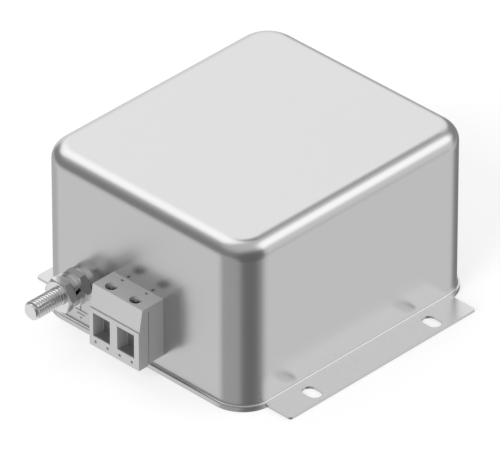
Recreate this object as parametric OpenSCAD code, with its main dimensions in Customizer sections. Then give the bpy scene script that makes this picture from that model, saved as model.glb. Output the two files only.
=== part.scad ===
// EMI line filter: a drawn steel can on a base plate with two slotted flanges,
// one two-pole screw terminal block on each end wall, and an earth stud beside the line terminals.
// Millimetres. X runs along the end walls, -Y is the line side, +Y the load side, Z is up.
// The origin is the middle of the base plate's underside.

/* [Case] */
// Width of the can over its side walls
can_w = 85; // [80:0.5:100]
// Length of the can over its two end walls
can_d = 97; // [94:0.5:120]
// Height of the whole case above the mounting surface
case_h = 57; // [48:0.5:75]
// Outer radius of the can's upright corners
corner_r = 10.5; // [7:0.5:13]
// Outer radius of the drawn edge round the top
top_r = 5; // [2.5:0.25:7]
// Thickness of the can's sheet steel
can_t = 0.7; // [0.5:0.05:1]
// How far the can's foot lip stands out from the wall
lip_w = 0.9; // [0.75:0.05:1.5]
// Inner radius of the bend between the wall and the foot lip
foot_r = 0.5; // [0.3:0.05:0.65]

/* [Base plate] */
// Thickness of the base plate
base_t = 0.8; // [0.6:0.05:2]
// How far each mounting flange stands out from the can's side wall
flange_w = 10.25; // [9.75:0.25:16]
// Length of each mounting flange along the can's side
flange_len = 78.8; // [66:0.2:90]
// Corner radius of the mounting flanges
flange_r = 1; // [0.5:0.1:2]
// Distance of each slot's middle from the can's side wall
slot_off = 5.5; // [5.2:0.05:5.9]
// Distance between the two slots of one flange
slot_pitch_y = 51; // [30:0.5:60]
// Width of a mounting slot, for an M4 screw
slot_w = 4.5; // [3.5:0.1:5]
// Length of a mounting slot, which runs across the case
slot_l = 6.5; // [5.5:0.1:6.8]

/* [Earth stud] */
// Thread diameter of the earth stud
stud_d = 6; // [5:0.5:6]
// Pitch of its thread
stud_pitch = 1; // [0.5:0.05:1]
// Place of the stud along the wall
stud_x = -24; // [-25.5:0.25:-21]
// Height of the stud's axis above the mounting surface
stud_z = 16.4; // [15.5:0.1:20]
// How far the stud reaches out of the wall
stud_out = 21.4; // [17:0.2:30]
// Height of the stud's end chamfer
stud_chamfer = 0.6; // [0.3:0.05:0.9]
// Distance across the flats of the nuts and of the stud's head
hex_af = 10; // [9:0.1:10]
// Height of the stud's hexagon head inside the case
stud_head_h = 4; // [3:0.1:5]
// Height of each thin nut
nut_h = 3.2; // [2.5:0.1:3.6]
// Outer diameter of the flat washers
washer_d = 11; // [10.2:0.1:12]
// Thickness of the washer against the wall
wall_washer_t = 1; // [0.6:0.1:1.6]
// Thickness of the washer under the spring washer
flat_washer_t = 1.2; // [0.6:0.1:1.6]
// Thickness of the split spring washer
spring_t = 1.6; // [1.2:0.1:2]
// Outer diameter of the split spring washer
spring_d = 10.4; // [9.4:0.1:11]
// Width of the slit in the spring washer
spring_slit = 1.1; // [0.6:0.1:2]
// Thickness of the earth strap
strap_t = 0.6; // [0.4:0.05:1]
// Width of the earth strap
strap_w = 6; // [5:0.25:7]

/* [Terminal blocks] */
// Place of the line block's middle along the wall
block_x = -0.7; // [-2:0.1:6]
// Pitch of the two poles
pole_pitch = 10; // [9.6:0.05:10.4]
// Extra thickness of the block's closed end
block_end = 0.45; // [0.2:0.05:1]
// Height of the block's underside above the mounting surface
block_z = 6.1; // [5.6:0.1:7]
// Height of the block
block_h = 20.6; // [19.6:0.1:22]
// How far the block stands out from the wall
block_out = 10.2; // [9.6:0.1:12]
// How far the block's front edge lies behind its face at the top
slope_run = 1.6; // [0.8:0.1:1.9]
// Height of the slope's foot above the block's underside
slope_foot = 13.5; // [13:0.1:14.5]
// How far the slope's foot lies behind the block's face
slope_inset = 0.3; // [0:0.05:0.5]
// Height of the shadow groove under the slope's foot
shadow_h = 0.4; // [0.2:0.05:0.6]
// Depth of the shadow groove behind the block's face
shadow_depth = 0.7; // [0.5:0.05:0.75]
// Height by which the rear of the block clears the base plate's edge
rear_step = 0.7; // [0.3:0.05:0.9]
// Depth of that raised part, from the wall
rear_flat = 4.9; // [2:0.1:5.5]
// Length of the ramp in front of it
rear_ramp = 1.9; // [0.5:0.1:2.5]
// Width of a wire entry
entry_w = 7; // [6.8:0.05:7.4]
// Height of a wire entry
entry_h = 8.2; // [6.8:0.1:8.5]
// Depth of a wire entry, from the block's face to the clamp
entry_depth = 4.25; // [4:0.05:4.5]
// Height of a wire entry's floor above the block's underside
entry_floor = 3.5; // [3.2:0.05:4]
// Diameter of the screwdriver holes
driver_d = 4; // [3.9:0.05:4.4]
// Diameter of the small holes under the entries
vent_d = 1; // [0.6:0.05:1.4]
// Height of the small holes above the block's underside
vent_z = 1.8; // [1.2:0.05:2]
// Diameter of the small holes in the block's top
top_hole_d = 1.2; // [0.6:0.05:1.4]
// Distance of the small holes in the top from the wall
top_hole_y = 1.2; // [0.9:0.05:2]
// Depth of all the small holes
small_hole_depth = 1.4; // [0.6:0.1:1.5]
// Width and depth of the groove down each end of the block
end_groove = 0.4; // [0.2:0.05:0.4]
// Distance of that groove's middle from the wall
end_groove_y = 6; // [3:0.1:8]
// How far below the block's top that groove ends
end_groove_top = 1.8; // [1:0.1:4]
// Least wall of the block in front of a clamp's floor
block_wall = 0.5; // [0.4:0.05:0.8]
// Wall of the spigot that passes through the case
spigot_wall = 0.7; // [0.5:0.05:0.9]
// How far the spigot stands out inside the case
spigot_out = 1.6; // [1.2:0.1:2]
// Height of the ridges that snap behind the wall
snap_h = 0.5; // [0.3:0.05:0.7]

/* [Clamps] */
// Width of a clamp
clamp_w = 6.6; // [5.8:0.05:6.6]
// Thickness of a clamp's back wall
clamp_back = 1.6; // [1.2:0.1:2]
// Thickness of a clamp's floor under the wire
clamp_floor = 0.8; // [0.6:0.05:1]
// Thickness of a clamp's threaded top
clamp_top = 3; // [2.5:0.1:3.2]
// Height at which a clamp's solder tail leaves it, above the wire's floor
tail_rise = 1.4; // [1:0.1:3]
// Distance of a solder tail's middle from the board's edge
tail_inset = 2.7; // [2:0.1:3.5]
// Width of a clamp's solder tail
tail_w = 2; // [1.4:0.05:2.2]
// Thickness of a clamp's solder tail
tail_t = 1.2; // [0.8:0.05:1.3]
// Thread diameter of a clamp screw
clamp_screw_d = 3; // [2.5:0.1:3.2]
// Head diameter of a clamp screw
clamp_head_d = 3.7; // [3.4:0.05:3.8]
// Head height of a clamp screw
clamp_head_h = 2.4; // [1.6:0.1:2.6]
// How far a clamp screw's head lies below the block's top
clamp_head_sunk = 1.3; // [0.5:0.1:1.6]
// Width of the crossed slots in the screw heads
cross_w = 0.7; // [0.4:0.05:1]
// Depth of the crossed slots
cross_depth = 1.3; // [0.6:0.1:1.4]
// Metal between the ends of the crossed slots and a head's edge
cross_edge = 0.5; // [0.3:0.05:0.8]

/* [Board] */
// Thickness of the circuit board
board_t = 1.6; // [1.2:0.1:2]
// Gap between the circuit board and the can
board_gap = 3; // [2:0.1:3.4]
// Height of the spacers between the base plate and the board
spacer_h = 6.5; // [5.5:0.1:7]
// Outer diameter of a spacer
spacer_d = 6; // [5.5:0.1:7]
// Shoulder with which a spacer rests on the base plate
spacer_shoulder = 0.8; // [0.5:0.05:0.8]
// Distance of the board's fixing screws from its edges
screw_inset = 5.5; // [4.5:0.1:6.5]
// Thread diameter of the board screws
board_screw_d = 3; // [2.5:0.1:3]
// Head diameter of the board screws
board_head_d = 5.6; // [4.5:0.1:6]
// Head height of the board screws
board_head_h = 2; // [1.5:0.1:2.5]
// Length of a board screw below its head
board_screw_l = 6; // [5:0.1:6.5]
// Thickness of the insulating sheet under the board
film_t = 0.3; // [0.2:0.05:0.6]
// Length of the leads and tails that stand out under the board
lead_out = 1.5; // [0.8:0.1:2]

/* [Choke] */
// Outer diameter of the toroidal core
core_od = 44; // [38:0.5:46]
// Inner diameter of the toroidal core
core_id = 26; // [24:0.5:28]
// Height of the toroidal core
core_h = 22; // [14:0.5:24]
// Radius on the core's edges
core_edge = 1; // [0.8:0.1:2]
// Diameter of the enamelled wire
wire_d = 1.8; // [1:0.1:1.9]
// Number of turns in each winding
turns = 10; // [6:1:11]
// Angle of the core that each winding covers
winding_arc = 140; // [130:1:145]
// Thickness of the insulating divider between the windings
divider_t = 1.5; // [1:0.1:2.5]
// Thickness of the holder's floor
holder_t = 2; // [1.5:0.1:3]
// Width and length of the two pads that carry the core
pad_w = 6; // [4:0.5:8]
// How far the holder's edge lies inside the core's
holder_inset = 1.2; // [1:0.1:4]

/* [Capacitors] */
// Length of the capacitors between line and neutral
xcap_l = 26.5; // [20:0.5:30]
// Thickness of those capacitors
xcap_w = 10.5; // [7:0.25:11]
// Height of those capacitors
xcap_h = 19; // [14:0.5:24]
// Distance between their leads
xcap_pitch = 17.5; // [12:0.5:18]
// Diameter of their leads
xcap_lead_d = 0.8; // [0.6:0.05:1]
// Radius on the upright edges of their boxes
xcap_edge = 1; // [0.3:0.1:2]
// Diameter of the disc capacitors to earth
ycap_d = 9; // [7.5:0.25:10]
// Thickness of the disc capacitors
ycap_t = 4; // [3:0.25:5]
// Distance between the leads of a disc capacitor
ycap_pitch = 5; // [4:0.25:5.5]
// Diameter of the leads of the disc capacitors and of the resistor
thin_lead_d = 0.6; // [0.5:0.05:0.8]
// Body diameter of the discharge resistor
resistor_d = 4; // [3:0.1:5]
// Body length of the discharge resistor
resistor_l = 10; // [8:0.5:12]
// Length of the resistor's leads, from its body to their bends
resistor_lead = 2.5; // [1.5:0.25:4]

/* [Hidden] */
$fn = 64;
// Clearance between pieces that slide into each other, on each side
slide = 0.1;
// Clearance between a thread and its nut, or a pressed shank and its hole, on each side
close_gap = 0.05;
// Clearance of a lead in its board hole, on each side
hole_gap = 0.2;
// Clearance of a screw in a plain hole, on each side
bolt_gap = 0.2;
// Least gap between the choke's wire and its core
wire_gap = 0.05;
// Space between neighbouring parts on the board
part_gap = 1.2;
// Space between an interference capacitor and the disc capacitors beside it
disc_gap = 3.5;
// Overrun of a cutting tool past the face that it opens
over = 1;

// Case
wall_x = can_w / 2;                        // outer face of each side wall
wall_y = can_d / 2;                        // outer face of each end wall
wall_in = wall_y - can_t;                  // inner face of each end wall
bend_r = foot_r + can_t;                   // outer radius of the foot's bend
flange_span = can_w + 2 * flange_w;
slot_x = wall_x + slot_off;
// Board and what it stands on
board_z = base_t + spacer_h;               // underside of the board
board_top = board_z + board_t;
board_w = can_w - 2 * (can_t + board_gap);
board_d = can_d - 2 * (can_t + board_gap);
board_r = corner_r - can_t - board_gap;
screw_x = board_w / 2 - screw_inset;
screw_y = board_d / 2 - screw_inset;
shank_d = spacer_d - 2 * spacer_shoulder;
// Earth stud: distances from the wall to the outer face of each piece on it
washer_bore = stud_d / 2 + bolt_gap;
engaged_r = stud_d / 2 - 0.325 * stud_pitch;  // half the pitch diameter, where stud and nut meet
wall_washer_out = wall_washer_t;
inner_nut_out = wall_washer_out + nut_h;
flat_washer_out = inner_nut_out + flat_washer_t;
spring_out = flat_washer_out + spring_t;
outer_nut_out = spring_out + nut_h;
chamfer_angle = 30;                        // of the nuts' corners
face_share = 0.95;                         // a nut's flat face over its width across the flats
slit_turn = 25;                            // where the spring washer's slit lies, round the stud
slit_lean = 20;                            // how far the slit leans from the stud's axis
// Terminal block, measured in its own frame: y = 0 on the wall, -y outwards
block_w = 2 * pole_pitch + block_end;
block_top = block_out - slope_run;         // depth of the flat top
poles = [-pole_pitch / 2, pole_pitch / 2];
top_z = block_z + block_h;
floor_z = block_z + entry_floor;
clamp_y = -(block_out - entry_depth);      // front face of a clamp's back wall
clamp_rear = clamp_y + clamp_back;
clamp_front = -(block_out - block_wall);   // front edge of a clamp's floor
lip_z = floor_z + entry_h + slide;         // underside of a clamp's threaded top
clamp_top_z = lip_z + clamp_top;
screw_seat = 0.15;                         // screw's axis behind the clamp's back wall face
screw_axis = clamp_y + screw_seat;
jaw_front = screw_axis - clamp_screw_d / 2 - clamp_back;
tail_z = floor_z + tail_rise;              // underside of a clamp's tail
tail_y = can_t + board_gap + tail_inset;   // middle of a tail's upright leg
spigot_depth = can_t + spigot_out;
chamber_w = clamp_w + 2 * slide;
chamber_z0 = floor_z - clamp_floor - slide;
chamber_z1 = clamp_top_z + slide;
spigot_w = pole_pitch + chamber_w + 2 * spigot_wall;
spigot_z0 = chamber_z0 - spigot_wall;
spigot_z1 = chamber_z1 + spigot_wall;
// Choke: one turn of wire runs round a rounded rectangle, with bend_points in each bend.
// The straight stretches between them just clear the core.
bend_points = 3;
turn_r = (core_edge + wire_gap + wire_d / 2) / cos(90 / (bend_points - 1) / 2);
wire_off = turn_r - core_edge;             // wire's centre line to the core's face
winding_r = core_od / 2 + wire_off + wire_d / 2;
holder_top = board_top + holder_t;
holder_r = core_od / 2 - holder_inset;
core_z = holder_top + wire_off + wire_d / 2 + hole_gap;
core_mid_r = (core_od + core_id) / 4;
core_band = (core_od - core_id) / 2;
divider_w = core_id - 2 * slide;
divider_z = holder_top - holder_t / 2;     // foot of the divider, in the holder's slot
divider_top = core_z + core_h + wire_off + wire_d;
// Places of the parts round the choke
xcap_y = winding_r + part_gap + xcap_w / 2;
ycap_x = xcap_l / 2 + disc_gap + ycap_d / 2;
ycap_z = board_top + part_gap + ycap_d / 2;
resistor_x = board_w / 2 - part_gap - resistor_d / 2;
resistor_z = board_top + hole_gap + resistor_d / 2;
resistor_pitch = resistor_l + 2 * resistor_lead;

// ---- Helpers ----

// Rounded rectangle, centred: two crossed squares and four true circles
module rounded_rect(w, d, r) {
    square([w - 2 * r, d], center = true);
    square([w, d - 2 * r], center = true);
    for (x = [-1, 1], y = [-1, 1]) translate([x * (w / 2 - r), y * (d / 2 - r)]) circle(r);
}

module rounded_plate(w, d, r, h) linear_extrude(h) rounded_rect(w, d, r);

// Takes a (y, z) profile and extrudes it along X, centred
module along_x(length) rotate([90, 0, 90]) linear_extrude(length, center = true) children();

// Turns a shape that stands on Z so that it points out of the line side's wall, at the stud
module out_of_wall() translate([stud_x, -wall_y, stud_z]) rotate([90, 0, 0]) children();

// Ring between two distances from the wall, round the stud
module stud_ring(from, to, outer_r) {
    out_of_wall() difference() {
        translate([0, 0, from]) cylinder(h = to - from, r = outer_r);
        translate([0, 0, from - over]) cylinder(h = to - from + 2 * over, r = washer_bore);
    }
}

// Hexagon with both ends chamfered, as on a turned nut or bolt head
module chamfered_hex(af, h) {
    point_r = af / 2 / cos(180 / 6);
    face_r = face_share * af / 2;
    cut = (point_r - face_r) * tan(chamfer_angle);
    intersection() {
        cylinder(h = h, r = point_r, $fn = 6);
        union() {
            cylinder(h = cut, r1 = face_r, r2 = point_r);
            translate([0, 0, cut]) cylinder(h = h - 2 * cut, r = point_r);
            translate([0, 0, h - cut]) cylinder(h = cut, r1 = point_r, r2 = face_r);
        }
    }
}

// Crossed slots in a screw's head, below z = 0
module cross_recess(head_d) {
    for (turn = [0, 90]) rotate([0, 0, turn])
        cube([head_d - 2 * cross_edge, cross_w, 2 * cross_depth], center = true);
}

module board_hole(x, y, r) {
    translate([x, y, board_z - over]) cylinder(h = board_t + 2 * over, r = r);
}

// ---- Case ----

// Quarter ring of sheet round an inner radius, in the quadrant that side and up point to
module sheet_bend(r, side, up) {
    outer = r + can_t;
    intersection() {
        difference() { circle(outer); circle(r); }
        translate([side > 0 ? 0 : -outer, up > 0 ? 0 : -outer]) square(outer);
    }
}

// Section of the drawn sheet: foot lip, bend, wall, top edge and roof.
// x = 0 is the centre line of the upright corner bend.
module wall_section() {
    translate([corner_r + foot_r, base_t]) square([lip_w - foot_r, can_t]);
    translate([corner_r + foot_r, base_t + bend_r]) sheet_bend(foot_r, -1, -1);
    translate([corner_r - can_t, base_t + bend_r])
        square([can_t, case_h - top_r - base_t - bend_r]);
    translate([corner_r - top_r, case_h - top_r]) sheet_bend(top_r - can_t, 1, 1);
    translate([0, case_h - can_t]) square([corner_r - top_r, can_t]);
}

// The section carried round the rounded rectangle of the can
module can_shell() {
    cx = wall_x - corner_r;
    cy = wall_y - corner_r;
    for (side = [0, 1]) rotate([0, 0, 180 * side]) {
        translate([cx, cy, 0]) rotate_extrude(angle = 90) wall_section();
        translate([-cx, cy, 0]) rotate([0, 0, 90]) rotate_extrude(angle = 90) wall_section();
        translate([cx, cy, 0]) rotate([90, 0, 0]) linear_extrude(2 * cy) wall_section();
        translate([-cx, cy, 0]) rotate([90, 0, 90]) linear_extrude(2 * cx) wall_section();
    }
    translate([-cx, -cy, case_h - can_t]) cube([2 * cx, 2 * cy, can_t]);
}

// Opening of the end wall for the spigot of a terminal block, in the block's frame
module spigot_opening() {
    translate([-spigot_w / 2 - slide, -over, spigot_z0 - slide])
        cube([spigot_w + 2 * slide, spigot_depth + over, spigot_z1 - spigot_z0 + 2 * slide]);
}

module can_cover() {
    color("silver") difference() {
        can_shell();
        line_side() spigot_opening();
        load_side() spigot_opening();
        out_of_wall() translate([0, 0, -can_t - over])
            cylinder(h = can_t + 2 * over, r = washer_bore);
    }
}

// Slot along X, centred
module slot(length, width, h) {
    reach = (length - width) / 2;
    for (x = [-reach, reach]) translate([x, 0, 0]) cylinder(h = h, r = width / 2);
    translate([-reach, -width / 2, 0]) cube([2 * reach, width, h]);
}

module base_plate() {
    color("lightgray") difference() {
        union() {
            rounded_plate(can_w + 2 * lip_w, can_d + 2 * lip_w, corner_r + lip_w, base_t);
            rounded_plate(flange_span, flange_len, flange_r, base_t);
        }
        for (x = [-1, 1], y = [-1, 1]) {
            translate([x * slot_x, y * slot_pitch_y / 2, -over])
                slot(slot_l, slot_w, base_t + 2 * over);
            translate([x * screw_x, y * screw_y, -over])
                cylinder(h = base_t + 2 * over, r = shank_d / 2 + close_gap);
        }
    }
}

// ---- Earth stud and what it clamps ----

// The thread's full diameter shows, and inside a nut both threads meet at the pitch diameter
module earth_stud() {
    head_from = -can_t - strap_t;
    thread_end = stud_out - stud_chamfer;
    color("gainsboro") out_of_wall() {
        translate([0, 0, head_from - stud_head_h]) chamfered_hex(hex_af, stud_head_h);
        translate([0, 0, head_from]) cylinder(h = outer_nut_out - head_from, r = engaged_r);
        translate([0, 0, head_from]) cylinder(h = wall_washer_out - head_from, r = stud_d / 2);
        translate([0, 0, inner_nut_out]) cylinder(h = spring_out - inner_nut_out, r = stud_d / 2);
        translate([0, 0, outer_nut_out]) cylinder(h = thread_end - outer_nut_out, r = stud_d / 2);
        translate([0, 0, thread_end])
            cylinder(h = stud_chamfer, r1 = stud_d / 2, r2 = stud_d / 2 - stud_chamfer);
    }
}

module stud_nut(from) {
    color("gainsboro") out_of_wall() difference() {
        translate([0, 0, from]) chamfered_hex(hex_af, nut_h);
        translate([0, 0, from - over]) cylinder(h = nut_h + 2 * over, r = engaged_r + close_gap);
    }
}

module stud_wall_washer() color("silver") stud_ring(0, wall_washer_out, washer_d / 2);

module stud_inner_nut() stud_nut(wall_washer_out);

module stud_flat_washer() color("silver") stud_ring(inner_nut_out, flat_washer_out, washer_d / 2);

module stud_spring_washer() {
    color("darkgray") difference() {
        stud_ring(flat_washer_out, spring_out, spring_d / 2);
        out_of_wall() rotate([0, 0, slit_turn]) translate([0, 0, flat_washer_out + spring_t / 2])
            rotate([slit_lean, 0, 0]) translate([0, -spring_slit / 2, -spring_t])
                cube([spring_d, spring_slit, 2 * spring_t]);
    }
}

module stud_outer_nut() stud_nut(spring_out);

// Eye under the stud's head, strip down the wall, and a foot under one board screw
module earth_strap() {
    color("peru") difference() {
        union() {
            out_of_wall() translate([0, 0, -can_t - strap_t])
                cylinder(h = strap_t, r = washer_d / 2);
            translate([stud_x - strap_w / 2, -wall_in, board_top])
                cube([strap_w, strap_t, stud_z - board_top]);
            translate([stud_x - strap_w / 2, -wall_in, board_top])
                cube([strap_w, wall_in - screw_y + strap_w / 2, strap_t]);
            translate([-screw_x, -screw_y - strap_w / 2, board_top])
                cube([stud_x + screw_x, strap_w, strap_t]);
            translate([-screw_x, -screw_y, board_top]) cylinder(h = strap_t, r = strap_w / 2);
        }
        out_of_wall() translate([0, 0, -can_t - strap_t - over])
            cylinder(h = strap_t + 2 * over, r = washer_bore);
        translate([-screw_x, -screw_y, board_top - over])
            cylinder(h = strap_t + 2 * over, r = board_screw_d / 2 + bolt_gap);
    }
}

// ---- Terminal blocks ----

module line_side() translate([block_x, -wall_y, 0]) children();

module load_side() rotate([0, 0, 180]) line_side() children();

// Side view of the block: flat top, slope with a shadow groove at its foot, face and raised rear
module block_section() {
    foot = block_z + slope_foot;
    groove_y = -block_out + shadow_depth;
    rear_z = block_z + rear_step;
    polygon([
        [0, rear_z], [-rear_flat, rear_z], [-rear_flat - rear_ramp, block_z],
        [-block_out, block_z], [-block_out, foot - shadow_h], [groove_y, foot - shadow_h],
        [groove_y, foot], [-block_out + slope_inset, foot], [-block_top, top_z], [0, top_z]]);
}

// One snap ridge, above or below the spigot, that catches behind the wall
module snap_ridge(z, up) {
    back = can_t + slide;
    root = z - up * spigot_wall / 2;
    along_x(2 * clamp_w)
        polygon([[back, root], [back, z + up * snap_h], [spigot_depth, z], [spigot_depth, root]]);
}

// What is cut out of the block for one pole
module pole_cavity() {
    // wire entry
    translate([-entry_w / 2, -block_out - over, floor_z])
        cube([entry_w, entry_depth + over, entry_h]);
    // chamber of the clamp, open to the rear
    translate([-chamber_w / 2, clamp_y - slide, chamber_z0])
        cube([chamber_w, spigot_depth + over - clamp_y + slide, chamber_z1 - chamber_z0]);
    // recess of the clamp's floor
    translate([-chamber_w / 2, clamp_front - slide, chamber_z0])
        cube([chamber_w, clamp_y - clamp_front + slide, clamp_floor + 2 * slide]);
    // recess of the clamp's threaded top
    translate([-chamber_w / 2, jaw_front - slide, lip_z - slide])
        cube([chamber_w, clamp_y - jaw_front + slide, chamber_z1 - lip_z + slide]);
    // screwdriver hole
    translate([0, screw_axis, lip_z]) cylinder(h = top_z - lip_z + over, r = driver_d / 2);
    // small hole in the top and two under the entry
    translate([0, -top_hole_y, top_z - small_hole_depth])
        cylinder(h = small_hole_depth + over, r = top_hole_d / 2);
    for (x = [-1, 1]) translate([x * pole_pitch / 4, -block_out - over, block_z + vent_z])
        rotate([-90, 0, 0]) cylinder(h = small_hole_depth + over, r = vent_d / 2);
}

// Cuts a groove from below, up to a height, round its own middle
module groove_cutter(h) translate([-end_groove, -end_groove / 2, -over])
    cube([2 * end_groove, end_groove, h + over]);

module terminal_body() {
    middle = block_end / 2;
    color("whitesmoke") difference() {
        union() {
            translate([middle, 0, 0]) along_x(block_w) block_section();
            translate([-spigot_w / 2, -over, spigot_z0])
                cube([spigot_w, spigot_depth + over, spigot_z1 - spigot_z0]);
            snap_ridge(spigot_z0, -1);
            snap_ridge(spigot_z1, 1);
        }
        for (x = poles) translate([x, 0, 0]) pole_cavity();
        for (x = [-1, 1]) translate([middle + x * block_w / 2, -end_groove_y, block_z])
            groove_cutter(block_h - end_groove_top);
    }
}

// C-shaped metal clamp: floor under the wire, back wall, threaded top and a solder tail
module clamp() {
    color("khaki") difference() {
        union() {
            along_x(clamp_w) polygon([
                [clamp_front, floor_z - clamp_floor], [clamp_rear, floor_z - clamp_floor],
                [clamp_rear, clamp_top_z], [jaw_front, clamp_top_z], [jaw_front, lip_z],
                [clamp_y, lip_z], [clamp_y, floor_z], [clamp_front, floor_z]]);
            translate([-tail_w / 2, clamp_rear - slide, tail_z])
                cube([tail_w, tail_y + tail_t / 2 - clamp_rear + slide, tail_t]);
            translate([-tail_w / 2, tail_y - tail_t / 2, board_z - lead_out])
                cube([tail_w, tail_t, tail_z + tail_t - board_z + lead_out]);
        }
        translate([0, screw_axis, lip_z - over])
            cylinder(h = clamp_top + 2 * over, r = clamp_screw_d / 2 + close_gap);
    }
}

// Clamp screw, screwed down to the underside of the clamp's threaded top
module clamp_screw() {
    head_top = top_z - clamp_head_sunk;
    head_z = head_top - clamp_head_h;
    color("silver") translate([0, screw_axis, 0]) difference() {
        union() {
            translate([0, 0, head_z]) cylinder(h = clamp_head_h, r = clamp_head_d / 2);
            translate([0, 0, lip_z]) cylinder(h = head_z - lip_z, r = clamp_screw_d / 2);
        }
        translate([0, 0, head_top]) cross_recess(clamp_head_d);
    }
}

module line_terminal_body() line_side() terminal_body();
module line_clamp_left() line_side() translate([poles[0], 0, 0]) clamp();
module line_clamp_right() line_side() translate([poles[1], 0, 0]) clamp();
module line_clamp_screws() line_side() for (x = poles) translate([x, 0, 0]) clamp_screw();
module load_terminal_body() load_side() terminal_body();
module load_clamp_left() load_side() translate([poles[0], 0, 0]) clamp();
module load_clamp_right() load_side() translate([poles[1], 0, 0]) clamp();
module load_clamp_screws() load_side() for (x = poles) translate([x, 0, 0]) clamp_screw();

// ---- Board ----

module circuit_board() {
    tail_r = norm([tail_w, tail_t]) / 2 + hole_gap;
    xcap_r = xcap_lead_d / 2 + hole_gap;
    thin_r = thin_lead_d / 2 + hole_gap;
    color("darkgreen") difference() {
        translate([0, 0, board_z]) rounded_plate(board_w, board_d, board_r, board_t);
        for (x = [-1, 1], y = [-1, 1])
            board_hole(x * screw_x, y * screw_y, board_screw_d / 2 + bolt_gap);
        for (side = [0, 180], x = poles) rotate([0, 0, side])
            board_hole(block_x + x, -wall_y + tail_y, tail_r);
        for (x = [-1, 1], y = [-1, 1]) board_hole(x * xcap_pitch / 2, y * xcap_y, xcap_r);
        for (x = [-1, 1], y = [-1, 1], lead = [-1, 1])
            board_hole(x * ycap_x + lead * ycap_pitch / 2, y * xcap_y, thin_r);
        for (y = [-1, 1]) board_hole(resistor_x, y * resistor_pitch / 2, thin_r);
        for (x = [-1, 1], y = [-1, 1])
            board_hole(x * lead_end.x, y * lead_end.y, wire_d / 2 + hole_gap);
    }
}

// Spacers with a shank pressed into the base plate, flush and closed underneath
module board_spacers() {
    for (x = [-1, 1], y = [-1, 1]) color("goldenrod") translate([x * screw_x, y * screw_y, 0])
        difference() {
            union() {
                translate([0, 0, base_t]) cylinder(h = spacer_h, r = spacer_d / 2);
                cylinder(h = board_z, r = shank_d / 2);
            }
            translate([0, 0, base_t])
                cylinder(h = spacer_h + over, r = board_screw_d / 2 + close_gap);
        }
}

// Three screws sit on the board, and the one over the earth strap sits on the strap
module board_screws() {
    for (x = [-1, 1], y = [-1, 1]) {
        seat = board_top + (x < 0 && y < 0 ? strap_t : 0);
        color("silver") translate([x * screw_x, y * screw_y, seat]) difference() {
            union() {
                cylinder(h = board_head_h, r = board_head_d / 2);
                translate([0, 0, -board_screw_l])
                    cylinder(h = board_screw_l + board_head_h / 2, r = board_screw_d / 2);
            }
            translate([0, 0, board_head_h]) cross_recess(board_head_d);
        }
    }
}

module insulating_sheet() {
    color("wheat") translate([0, 0, base_t]) linear_extrude(film_t) difference() {
        rounded_rect(board_w, board_d, board_r);
        for (x = [-1, 1], y = [-1, 1]) translate([x * screw_x, y * screw_y])
            circle(spacer_d / 2 + hole_gap);
    }
}

// ---- Choke ----

// Rounded band, spun round the choke's axis
module choke_core() {
    color("dimgray") translate([0, 0, core_z]) rotate_extrude()
        translate([core_mid_r, core_h / 2]) rounded_rect(core_band, core_h, core_edge);
}

// Points of one turn, counted from its outer top bend
turn_half_w = core_band / 2 - core_edge;
turn_half_h = core_h / 2 - core_edge;
turn_points = 4 * bend_points;
function bend_angle(i) = 90 * (floor(i / bend_points) + (i % bend_points) / (bend_points - 1));
function turn_corner(i) = let (q = floor(i / bend_points))
    [(q == 0 || q == 3 ? 1 : -1) * turn_half_w, (q < 2 ? 1 : -1) * turn_half_h];
function turn_point(i) = turn_corner(i) + turn_r * [cos(bend_angle(i)), sin(bend_angle(i))];
// The winding steps along the core as it goes round, from one lead to the other
last_point = turn_points * turns - bend_points;
function along_core(i) = winding_arc * (i / last_point - 1 / 2);
function winding_point(i) = let (p = turn_point(i % turn_points), a = along_core(i))
    [(core_mid_r + p.x) * cos(a), (core_mid_r + p.x) * sin(a), core_z + core_h / 2 + p.y];
// The leads drop straight through the board beside the first and the last turn
lead_r = core_od / 2 + wire_off;
lead_end = lead_r * [cos(winding_arc / 2), sin(winding_arc / 2)];
lead_heights = [board_z - lead_out, board_top, core_z - wire_off];
function lead_point(k, y) = [lead_end.x, y * lead_end.y, lead_heights[k]];
winding_path = concat(
    [for (k = [0 : 2]) lead_point(k, -1)],
    [for (i = [0 : last_point - 1]) winding_point(i)],
    [for (k = [2 : -1 : 0]) lead_point(k, 1)]);

wire_sides = 8;
function unit(v) = v / norm(v);
function path_tangent(path, i) = unit(path[min(i + 1, len(path) - 1)] - path[max(i - 1, 0)]);
// Sides of the wire are set out from the direction along the core, which the wire never follows
function side_direction(p, t) = let (u = unit([-p.y, p.x, 0])) unit(u - (u * t) * t);
function wire_ring(path, i) =
    let (t = path_tangent(path, i), u = side_direction(path[i], t), v = cross(t, u))
    [for (s = [0 : wire_sides - 1]) let (a = 360 * s / wire_sides)
        path[i] + wire_d / 2 * (cos(a) * u + sin(a) * v)];

// Round wire swept along a path, as a closed skin of rings
module wire(path) {
    last = (len(path) - 1) * wire_sides;
    points = [for (i = [0 : len(path) - 1]) each wire_ring(path, i)];
    skin = [for (ring = [0 : wire_sides : last - wire_sides], s = [0 : wire_sides - 1])
        let (n = (s + 1) % wire_sides)
        [ring + s, ring + wire_sides + s, ring + wire_sides + n, ring + n]];
    start = [for (s = [0 : wire_sides - 1]) s];
    end = [for (s = [wire_sides - 1 : -1 : 0]) last + s];
    polyhedron(points, concat(skin, [start, end]));
}

module choke_winding_line() color("chocolate") wire(winding_path);
module choke_winding_neutral() color("chocolate") rotate([0, 0, 180]) wire(winding_path);

module choke_divider() {
    color("ivory") translate([-divider_t / 2, -divider_w / 2, divider_z])
        cube([divider_t, divider_w, divider_top - divider_z]);
}

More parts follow.
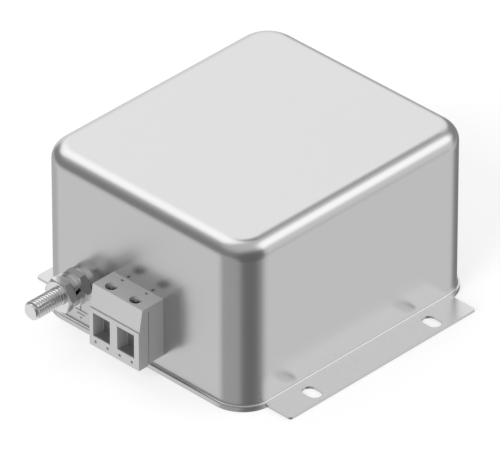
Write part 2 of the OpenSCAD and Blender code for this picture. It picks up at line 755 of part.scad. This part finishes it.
// Round plastic floor with a slot for the divider and two pads that carry the core
module choke_holder() {
    color("ivory") difference() {
        union() {
            translate([0, 0, board_top]) cylinder(h = holder_t, r = holder_r);
            for (side = [-1, 1])
                translate([-pad_w / 2, side * core_mid_r - pad_w / 2, divider_z])
                    cube([pad_w, pad_w, core_z - divider_z]);
        }
        translate([-divider_t / 2 - slide, -divider_w / 2 - slide, divider_z])
            cube([divider_t + 2 * slide, divider_w + 2 * slide, holder_t]);
    }
}

// ---- Capacitors and resistor ----

module straight_lead(x, y, d, top) {
    translate([x, y, board_z - lead_out]) cylinder(h = top - board_z + lead_out, r = d / 2);
}

module x_capacitor(side) {
    color("steelblue") translate([0, side * xcap_y, board_top])
        rounded_plate(xcap_l, xcap_w, xcap_edge, xcap_h);
    color("silver") for (x = [-1, 1])
        straight_lead(x * xcap_pitch / 2, side * xcap_y, xcap_lead_d, board_top + over);
}

// Coated disc on edge, spun from its rounded half section, on two leads
module y_capacitor(side_x, side_y) {
    edge = ycap_t / 4;
    color("royalblue") translate([side_x * ycap_x, side_y * xcap_y, ycap_z]) rotate([90, 0, 0])
        rotate_extrude() {
            square([ycap_d / 2 - edge, ycap_t / 2]);
            translate([0, -ycap_t / 2]) square([ycap_d / 2 - edge, ycap_t / 2]);
            translate([0, edge - ycap_t / 2]) square([ycap_d / 2, ycap_t - 2 * edge]);
            for (y = [-1, 1]) translate([ycap_d / 2 - edge, y * (ycap_t / 2 - edge)]) circle(edge);
        }
    color("silver") for (lead = [-1, 1])
        straight_lead(side_x * ycap_x + lead * ycap_pitch / 2, side_y * xcap_y, thin_lead_d, ycap_z);
}

module x_capacitor_line() x_capacitor(-1);
module x_capacitor_load() x_capacitor(1);
module y_capacitor_line_l() y_capacitor(-1, -1);
module y_capacitor_line_n() y_capacitor(1, -1);
module y_capacitor_load_l() y_capacitor(-1, 1);
module y_capacitor_load_n() y_capacitor(1, 1);

module discharge_resistor() {
    color("tan") translate([resistor_x, 0, resistor_z]) rotate([90, 0, 0]) {
        cylinder(h = resistor_l, r = resistor_d / 2, center = true);
        cylinder(h = resistor_pitch, r = thin_lead_d / 2, center = true);
    }
    color("silver") for (y = [-1, 1]) {
        straight_lead(resistor_x, y * resistor_pitch / 2, thin_lead_d, resistor_z);
        translate([resistor_x, y * resistor_pitch / 2, resistor_z]) sphere(r = thin_lead_d / 2);
    }
}

can_cover();
base_plate();
earth_stud();
stud_wall_washer();
stud_inner_nut();
stud_flat_washer();
stud_spring_washer();
stud_outer_nut();
earth_strap();
line_terminal_body();
line_clamp_left();
line_clamp_right();
line_clamp_screws();
load_terminal_body();
load_clamp_left();
load_clamp_right();
load_clamp_screws();
circuit_board();
board_spacers();
board_screws();
insulating_sheet();
choke_core();
choke_winding_line();
choke_winding_neutral();
choke_divider();
choke_holder();
x_capacitor_line();
x_capacitor_load();
y_capacitor_line_l();
y_capacitor_line_n();
y_capacitor_load_l();
y_capacitor_load_n();
discharge_resistor();
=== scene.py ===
# %% [markdown]
# # A line filter in a drawn steel can
# The part is a mains filter: a satin steel can on a base plate with two slotted
# flanges, an earth stud and a two-pole terminal block on each end wall, and a choke
# and capacitors on a board inside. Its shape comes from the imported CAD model. This
# lesson gives every piece its finish, and adds what CAD leaves out, such as the
# thread of the stud and the printed earth sign.

import math

import bmesh
import bpy
from mathutils import Matrix, Vector


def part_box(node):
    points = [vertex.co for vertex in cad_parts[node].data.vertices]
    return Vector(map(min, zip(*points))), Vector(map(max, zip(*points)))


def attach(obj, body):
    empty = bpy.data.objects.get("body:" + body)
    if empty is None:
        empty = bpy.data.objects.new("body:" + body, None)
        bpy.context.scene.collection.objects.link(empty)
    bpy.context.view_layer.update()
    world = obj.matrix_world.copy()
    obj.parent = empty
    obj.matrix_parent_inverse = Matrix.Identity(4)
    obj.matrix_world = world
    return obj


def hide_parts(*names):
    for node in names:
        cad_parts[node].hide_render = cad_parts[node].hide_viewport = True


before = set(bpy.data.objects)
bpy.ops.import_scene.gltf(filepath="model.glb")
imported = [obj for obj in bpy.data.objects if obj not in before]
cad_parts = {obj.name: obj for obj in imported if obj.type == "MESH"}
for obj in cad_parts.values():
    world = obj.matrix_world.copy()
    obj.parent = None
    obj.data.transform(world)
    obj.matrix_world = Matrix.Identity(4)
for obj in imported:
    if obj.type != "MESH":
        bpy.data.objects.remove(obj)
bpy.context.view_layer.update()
MM = 0.001
print(f"Loaded {len(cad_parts)} CAD nodes")

# %% [markdown]
# ## Camera
# The can is seen from above its front right corner with a long lens, which keeps its
# parallel edges nearly parallel. A camera looks along its own -Z axis, so the view
# direction is turned into a rotation.

# %% Camera
CAMERA_AT = Vector((1.5841, -1.6221, 1.5436))
LOOKS_AT = Vector((-0.0093, 0.0072, 0.0171))
LENS_MM = 664.8
SENSOR_MM = 36

camera = bpy.data.objects.new("camera", bpy.data.cameras.new("camera"))
camera.location = CAMERA_AT
camera.rotation_euler = (LOOKS_AT - CAMERA_AT).to_track_quat("-Z", "Y").to_euler()
camera.data.lens = LENS_MM
camera.data.sensor_width = SENSOR_MM
bpy.context.collection.objects.link(camera)
bpy.context.scene.camera = camera
bpy.context.scene.view_settings.view_transform = "Standard"
print(f"Camera {(LOOKS_AT - CAMERA_AT).length:.2f} m away, {LENS_MM} mm lens")

# %% [markdown]
# ## Light
# Satin metal shows its surroundings more than its own colour, so the light is a soft
# studio drawn in the world: white below, a dark band at the horizon, bright and dark
# cards in some directions, and a darker side where the viewer stands. Cards could be
# area lamps too, but a world has no edges and makes little noise.

# %% World
world = bpy.data.worlds.new("studio")
world.use_nodes = True
bpy.context.scene.world = world
sky = world.node_tree
sky.nodes.clear()


def add(tree, kind, **settings):
    """A new node with its settings; a setting that names an input fills it."""
    node = tree.nodes.new(kind)
    for key, value in settings.items():
        if key in node.inputs:
            node.inputs[key].default_value = value
        else:
            setattr(node, key, value)
    return node


def math_node(tree, operation, first, second):
    """A Math node fed by sockets or by plain numbers."""
    node = add(tree, "ShaderNodeMath", operation=operation)
    for socket, value in zip(node.inputs, (first, second)):
        if isinstance(value, (int, float)):
            socket.default_value = value
        else:
            tree.links.new(value, socket)
    return node.outputs[0]


def toward(azimuth, elevation):
    """Unit vector; azimuth 0 is +X and 90 is +Y, in degrees."""
    a, e = math.radians(azimuth), math.radians(elevation)
    return (math.cos(a) * math.cos(e), math.sin(a) * math.cos(e), math.sin(e))


def lobe(tree, ray, azimuth, elevation, inner, outer):
    """1 within inner degrees of a direction, falling smoothly to 0 at outer."""
    dot = add(tree, "ShaderNodeVectorMath", operation="DOT_PRODUCT")
    tree.links.new(ray, dot.inputs[0])
    dot.inputs[1].default_value = toward(azimuth, elevation)
    fall = add(tree, "ShaderNodeMapRange", interpolation_type="SMOOTHSTEP")
    tree.links.new(dot.outputs["Value"], fall.inputs["Value"])
    fall.inputs["From Min"].default_value = math.cos(math.radians(outer))
    fall.inputs["From Max"].default_value = math.cos(math.radians(inner))
    return fall.outputs["Result"]


LEVELS = [(-90, 1.0), (-24, 1.0), (-14, 0.75), (-2, 0.34), (24, 0.36), (40, 0.62),
          (60, 0.8), (90, 0.8)]
LEVEL_SCALE = 2.0
# Azimuth, elevation, inner and outer radius in degrees, and the level there
CARDS = [
    (-22, -10, 22, 62, 0.2), (100, -34, 8, 36, 0.3), (-88, -34, 20, 33, 0.55),
    (172, -34, 14, 32, 0.7), (138, 33, 12, 30, 1.45), (172, 52, 10, 34, 1.8),
    (50, 36, 12, 32, 1.85), (43, 4, 8, 26, 1.05), (124, 53, 3, 14, 0.2),
    (145, 0, 10, 26, 1.1)]

ray = add(sky, "ShaderNodeTexCoord").outputs["Generated"]
height = add(sky, "ShaderNodeSeparateXYZ")
sky.links.new(ray, height.inputs[0])
angle = math_node(sky, "ARCSINE", height.outputs["Z"], 0.0)
share = math_node(sky, "ADD", math_node(sky, "DIVIDE", angle, math.pi), 0.5)
ramp = add(sky, "ShaderNodeValToRGB")
ramp.color_ramp.interpolation = "EASE"
stops = ramp.color_ramp.elements
while len(stops) < len(LEVELS):
    stops.new(0.5)
for stop, (elevation, level) in zip(stops, LEVELS):
    stop.position = (elevation + 90) / 180
    stop.color = (level / LEVEL_SCALE,) * 3 + (1,)
sky.links.new(share, ramp.inputs[0])
level = math_node(sky, "MULTIPLY", ramp.outputs[0], LEVEL_SCALE)
for azimuth, elevation, inner, outer, value in CARDS:
    card = add(sky, "ShaderNodeMix", data_type="FLOAT")
    sky.links.new(lobe(sky, ray, azimuth, elevation, inner, outer), card.inputs["Factor"])
    sky.links.new(level, card.inputs["A"])
    card.inputs["B"].default_value = value
    level = card.outputs["Result"]

path = add(sky, "ShaderNodeLightPath")
seen = math_node(sky, "MAXIMUM", path.outputs["Is Camera Ray"],
                 path.outputs["Is Transmission Ray"])
strength = add(sky, "ShaderNodeMix", data_type="FLOAT")
sky.links.new(seen, strength.inputs["Factor"])
sky.links.new(level, strength.inputs["A"])
strength.inputs["B"].default_value = 1.0
background = add(sky, "ShaderNodeBackground")
sky.links.new(strength.outputs["Result"], background.inputs["Strength"])
output = add(sky, "ShaderNodeOutputWorld")
sky.links.new(background.outputs[0], output.inputs["Surface"])
print("World:", len(CARDS), "soft cards")

# %% [markdown]
# ## Fill lamp
# The moulded blocks are matt, so they need light from one side to show their form. A
# wide sun lamp from the front gives it. The metal would mirror it as a bright spot, so
# glossy rays don't see it.

# %% Fill lamp for the plastic
FILL_ENERGY = 2.2
FILL_WIDTH_DEG = 40
FILL_FROM = (-85, 30)

fill = bpy.data.objects.new("fill", bpy.data.lights.new("fill", "SUN"))
fill.data.energy = FILL_ENERGY
fill.data.angle = math.radians(FILL_WIDTH_DEG)
fill.rotation_euler = Vector(toward(*FILL_FROM)).to_track_quat("Z", "Y").to_euler()
fill.visible_glossy = False
bpy.context.collection.objects.link(fill)
print(f"Fill lamp from azimuth {FILL_FROM[0]}, elevation {FILL_FROM[1]} degrees")

# %% [markdown]
# ## Floor
# The floor is plain white. Part of its brightness glows by itself, so that it stays
# white round the object and still keeps a soft shadow.

# %% Floor
FLOOR_HALF = 3.0
FLOOR_GLOW = 0.62
FLOOR_WHITE = 0.42
FLOOR_Z = -0.2 * MM


def finished(bm, name, body="root", smooth_angle=30):
    """Turns a bmesh into an object at the origin that rides on a body."""
    bmesh.ops.recalc_face_normals(bm, faces=bm.faces)
    mesh = bpy.data.meshes.new(name)
    bm.to_mesh(mesh)
    bm.free()
    piece = bpy.data.objects.new(name, mesh)
    bpy.context.collection.objects.link(piece)
    mesh.shade_smooth()
    mesh.set_sharp_from_angle(angle=math.radians(smooth_angle))
    if body:
        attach(piece, body)
    print(f"{name}: {len(mesh.polygons)} faces")
    return piece


bm = bmesh.new()
bmesh.ops.create_grid(bm, x_segments=1, y_segments=1, size=FLOOR_HALF)
bmesh.ops.translate(bm, verts=bm.verts, vec=(0, 0, FLOOR_Z))
floor = finished(bm, "floor", body=None)
floor.visible_glossy = False

floor_paint = bpy.data.materials.new("floor_paint")
floor_paint.use_nodes = True
tree = floor_paint.node_tree
tree.nodes.clear()
matt = add(tree, "ShaderNodeBsdfDiffuse")
matt.inputs["Color"].default_value = (FLOOR_WHITE,) * 3 + (1,)
glow = add(tree, "ShaderNodeEmission", Strength=FLOOR_GLOW)
both = add(tree, "ShaderNodeAddShader")
tree.links.new(matt.outputs[0], both.inputs[0])
tree.links.new(glow.outputs[0], both.inputs[1])
output = add(tree, "ShaderNodeOutputMaterial")
tree.links.new(both.outputs[0], output.inputs["Surface"])
floor.data.materials.append(floor_paint)

# %% [markdown]
# ## Finishes
# Every finish is one principled shader. Its tone, its roughness and its fine relief
# vary with noise on Object coordinates, in metres, so a grain of 2000 has features of
# about half a millimetre. Stretching the coordinates gives a rolling or drawing
# direction.

# %% A helper for finishes
FINISHES = {}


def finish(name, tones, rough, grain, metallic=0.0, stretch=(1, 1, 1), relief=0.0,
           specular=0.5, coat=0.0):
    """A material that varies between two tones and two roughnesses."""
    paint = bpy.data.materials.new(name)
    paint.use_nodes = True
    tree = paint.node_tree
    shader = tree.nodes["Principled BSDF"]
    shader.inputs["Metallic"].default_value = metallic
    shader.inputs["Specular IOR Level"].default_value = specular
    shader.inputs["Coat Weight"].default_value = coat
    place = add(tree, "ShaderNodeTexCoord").outputs["Object"]
    mapping = add(tree, "ShaderNodeMapping")
    mapping.inputs["Scale"].default_value = stretch
    tree.links.new(place, mapping.inputs["Vector"])
    noise = add(tree, "ShaderNodeTexNoise", Scale=grain, Detail=4.0, Roughness=0.55)
    tree.links.new(mapping.outputs[0], noise.inputs["Vector"])
    blend = add(tree, "ShaderNodeMix", data_type="RGBA")
    blend.inputs["A"].default_value = tones[0] + (1,)
    blend.inputs["B"].default_value = tones[1] + (1,)
    tree.links.new(noise.outputs["Fac"], blend.inputs["Factor"])
    tree.links.new(blend.outputs["Result"], shader.inputs["Base Color"])
    spread = add(tree, "ShaderNodeMapRange")
    spread.inputs["To Min"].default_value = rough[0]
    spread.inputs["To Max"].default_value = rough[1]
    tree.links.new(noise.outputs["Fac"], spread.inputs["Value"])
    tree.links.new(spread.outputs["Result"], shader.inputs["Roughness"])
    if relief:
        bump = add(tree, "ShaderNodeBump", Strength=0.5, Distance=relief)
        tree.links.new(noise.outputs["Fac"], bump.inputs["Height"])
        tree.links.new(bump.outputs[0], shader.inputs["Normal"])
    FINISHES[name] = paint
    return paint


def grey(level):
    return (level, level, level)


finish("case_steel", (grey(0.65), grey(0.67)), (0.22, 0.28), 60, 1.0)
finish("plate_steel", (grey(0.66), grey(0.68)), (0.24, 0.30), 90, 1.0)
finish("bright_zinc", (grey(0.84), grey(0.88)), (0.12, 0.18), 900, 1.0)
finish("spring_steel", (grey(0.78), grey(0.82)), (0.12, 0.18), 900, 1.0)
finish("strap_copper", ((0.72, 0.42, 0.3), (0.78, 0.5, 0.38)),
                      (0.25, 0.38), 500, 1.0)
finish("terminal_plastic", (grey(0.40), grey(0.43)), (0.42, 0.5),
                          3000, relief=0.00002)
finish("clamp_metal", (grey(0.58), grey(0.66)), (0.34, 0.44), 800, 1.0)
finish("clamp_screw_metal", (grey(0.42), grey(0.5)), (0.28, 0.4),
                           900, 1.0)
finish("board_laminate", ((0.16, 0.28, 0.1), (0.2, 0.34, 0.13)),
                        (0.4, 0.5), 700)
finish("spacer_metal", (grey(0.55), grey(0.62)), (0.25, 0.35), 700, 1.0)
finish("insulating_film", ((0.5, 0.48, 0.4), (0.56, 0.53, 0.45)),
                         (0.35, 0.5), 300)
finish("core_coating", ((0.05, 0.09, 0.06), (0.07, 0.12, 0.08)),
                      (0.35, 0.5), 500, relief=0.00005)
finish("enamelled_wire", ((0.5, 0.16, 0.06), (0.6, 0.22, 0.09)),
                        (0.2, 0.3), 400, 0.6)
finish("white_plastic", (grey(0.7), grey(0.76)), (0.4, 0.5), 900)
finish("capacitor_box", ((0.42, 0.4, 0.1), (0.48, 0.46, 0.13)),
                       (0.35, 0.45), 700)
finish("disc_coating", ((0.03, 0.12, 0.34), (0.05, 0.16, 0.42)),
                      (0.3, 0.42), 700, relief=0.00004)
finish("resistor_body", ((0.42, 0.5, 0.52), (0.48, 0.56, 0.58)),
                       (0.35, 0.45), 900)
print("Finishes:", ", ".join(FINISHES))

# %% [markdown]
# ## Finishes on the CAD nodes
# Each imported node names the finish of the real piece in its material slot. The mesh
# stays as it is, and only the slot's material is exchanged.

# %% Finish the CAD nodes
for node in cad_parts.values():
    for place in node.material_slots:
        place.material = FINISHES[place.material.name.split(".")[0]]
print("Finished", len(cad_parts), "CAD nodes")

# %% [markdown]
# ## The earth stud
# The real stud is a steel screw with a rolled metric thread. A thread is one notch
# swept round the axis while it moves along it, so a line of notches is spun through
# a full turn with an offset of one pitch, and each notch ends where the next one
# began. Inside the nuts the threads of both pieces fill each other, so there the
# stud stays plain, at the middle of the thread.

# %% Sizes of the stud
stud_low, stud_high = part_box("earth_stud")
STUD_X = (stud_low.x + stud_high.x) / 2
STUD_Z = (stud_low.z + stud_high.z) / 2
TIP_Y = stud_low.y
HEAD_END_Y = stud_high.y
NUT_FACE_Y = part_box("stud_outer_nut")[0].y
HEAD_H = 4.0 * MM
PITCH = 1.0 * MM
CREST_R = 3.0 * MM
ROOT_R = 2.39 * MM
MIDDLE_R = 2.675 * MM
TIP_R = 2.35 * MM
THREAD_STEPS = 48
THREAD_WELD = 0.005 * MM
HEX_SIDES = 6
# Distance along one pitch and radius, for the crest, the flanks and the root
NOTCH = [(0.0, CREST_R), (0.13 * PITCH, CREST_R), (0.48 * PITCH, ROOT_R),
         (0.65 * PITCH, ROOT_R)]
print(f"Stud at x {STUD_X / MM:.1f}, z {STUD_Z / MM:.1f}, tip at y {TIP_Y / MM:.1f} mm")

# %% Spin the thread
bm = bmesh.new()
turns = math.ceil((NUT_FACE_Y - TIP_Y) / PITCH) + 2
line = [bm.verts.new((0, TIP_Y + (turn - 1) * PITCH + along, radius))
        for turn in range(turns) for along, radius in NOTCH]
edges = [bm.edges.new(pair) for pair in zip(line, line[1:])]
bmesh.ops.spin(bm, geom=line + edges, cent=(0, 0, 0), axis=(0, 1, 0),
               dvec=(0, PITCH / THREAD_STEPS, 0), angle=math.tau, steps=THREAD_STEPS,
               use_merge=False)
bmesh.ops.remove_doubles(bm, verts=bm.verts, dist=THREAD_WELD)
for vert in bm.verts:
    limit = TIP_R + max(0.0, vert.co.y - TIP_Y)
    radius = math.hypot(vert.co.x, vert.co.z)
    if radius > limit:
        vert.co.x *= limit / radius
        vert.co.z *= limit / radius
print(f"{turns} turns of thread, {len(bm.faces)} faces")


# %% Cut the thread to length and close the stud


def cut(bm, at, keep_above):
    """Cuts across the stud and drops one side; gives the edges of the cut."""
    made = bmesh.ops.bisect_plane(
        bm, geom=bm.verts[:] + bm.edges[:] + bm.faces[:], plane_co=(0, at, 0),
        plane_no=(0, 1, 0), clear_inner=keep_above, clear_outer=not keep_above)
    return [item for item in made["geom_cut"] if isinstance(item, bmesh.types.BMEdge)]


bmesh.ops.contextual_create(bm, geom=cut(bm, TIP_Y, True))
rim = cut(bm, NUT_FACE_Y, False)
ring = [vert for vert in bmesh.ops.extrude_edge_only(bm, edges=rim)["geom"]
        if isinstance(vert, bmesh.types.BMVert)]
for vert in ring:
    radius = math.hypot(vert.co.x, vert.co.z)
    vert.co.x *= MIDDLE_R / radius
    vert.co.z *= MIDDLE_R / radius
rim = [edge for edge in bm.edges if edge.is_boundary]
sleeve = bmesh.ops.extrude_edge_only(bm, edges=rim)["geom"]
bmesh.ops.translate(bm, vec=(0, HEAD_END_Y - HEAD_H - NUT_FACE_Y, 0),
                    verts=[vert for vert in sleeve if isinstance(vert, bmesh.types.BMVert)])
bmesh.ops.contextual_create(bm, geom=[edge for edge in bm.edges if edge.is_boundary])
bmesh.ops.create_cone(
    bm, cap_ends=True, segments=HEX_SIDES, radius1=stud_high.x - STUD_X,
    radius2=stud_high.x - STUD_X, depth=HEAD_H,
    matrix=Matrix.Translation((0, HEAD_END_Y - HEAD_H / 2, 0))
    @ Matrix.Rotation(math.radians(90), 4, "X")
    @ Matrix.Rotation(math.radians(30), 4, "Z"))
bmesh.ops.translate(bm, verts=bm.verts, vec=(STUD_X, 0, STUD_Z))
threaded_stud = finished(bm, "threaded_stud")
threaded_stud.data.materials.append(FINISHES["bright_zinc"])
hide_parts("earth_stud")

# %% [markdown]
# ## The earth sign
# Beside the stud the case carries the common sign for an earth connection. It is
# printed, so it is a film of ink a few hundredths of a millimetre thick: thin strokes
# with rounded ends, and a dot below them.

# %% Print the earth sign
WALL_Y = -48.5 * MM
INK = 0.03 * MM
STROKE = 0.45 * MM
CORNER_SHARE = 0.4
DOT_SIDES = 24
# Centre x, centre z, width and height of each stroke, in millimetres, and below them
# centre x, centre z and radius of the dot
STROKES = [(-24.7, 7.3, 0.45, 1.9), (-24.4, 6.25, 5.2, 0.45), (-24.6, 5.0, 3.4, 0.45)]
DOT = (-24.6, 3.7, 0.4)

bm = bmesh.new()
for x, z, width, tall in STROKES:
    middle = Matrix.Translation((x * MM, WALL_Y - INK / 2, z * MM))
    made = bmesh.ops.create_cube(
        bm, size=1, matrix=middle @ Matrix.Diagonal((width * MM, INK, tall * MM, 1)))
    upright = {edge for vert in made["verts"] for edge in vert.link_edges
               if abs(edge.verts[0].co.y - edge.verts[1].co.y) > INK / 2}
    bmesh.ops.bevel(bm, geom=list(upright), offset=STROKE * CORNER_SHARE,
                    offset_type="OFFSET", affect="EDGES", segments=3, profile=0.5,
                    material=-1)
bmesh.ops.create_cone(bm, cap_ends=True, segments=DOT_SIDES, radius1=DOT[2] * MM,
                      radius2=DOT[2] * MM, depth=INK, matrix=Matrix.Translation(
                          (DOT[0] * MM, WALL_Y - INK / 2, DOT[1] * MM))
                      @ Matrix.Rotation(math.radians(90), 4, "X"))
earth_sign = finished(bm, "earth_sign")
ink = finish("sign_ink", (grey(0.2), grey(0.24)), (0.45, 0.55), 2500)
earth_sign.data.materials.append(ink)

# %% [markdown]
# ## The windings
# Each half of the choke is wound with one enamelled wire. The CAD wire has eight flat
# sides, which would show as facets, so a copy is merged into a closed skin and
# smoothed by a Subdivision Surface.

# %% Smooth the wire
WIRE_WELD = 0.001 * MM
FLAT_ANGLE = 0.7
SHAPE_ANGLE = 1.5

for node, name in (("choke_winding_line", "line_wire"),
                   ("choke_winding_neutral", "neutral_wire")):
    bm = bmesh.new()
    bm.from_mesh(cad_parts[node].data)
    bmesh.ops.remove_doubles(bm, verts=bm.verts, dist=WIRE_WELD)
    bmesh.ops.join_triangles(bm, faces=bm.faces, angle_face_threshold=FLAT_ANGLE,
                             angle_shape_threshold=SHAPE_ANGLE)
    wire = finished(bm, name, smooth_angle=60)
    rounding = wire.modifiers.new("rounding", "SUBSURF")
    rounding.levels = rounding.render_levels = 1
    wire.data.materials.append(FINISHES["enamelled_wire"])
    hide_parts(node)
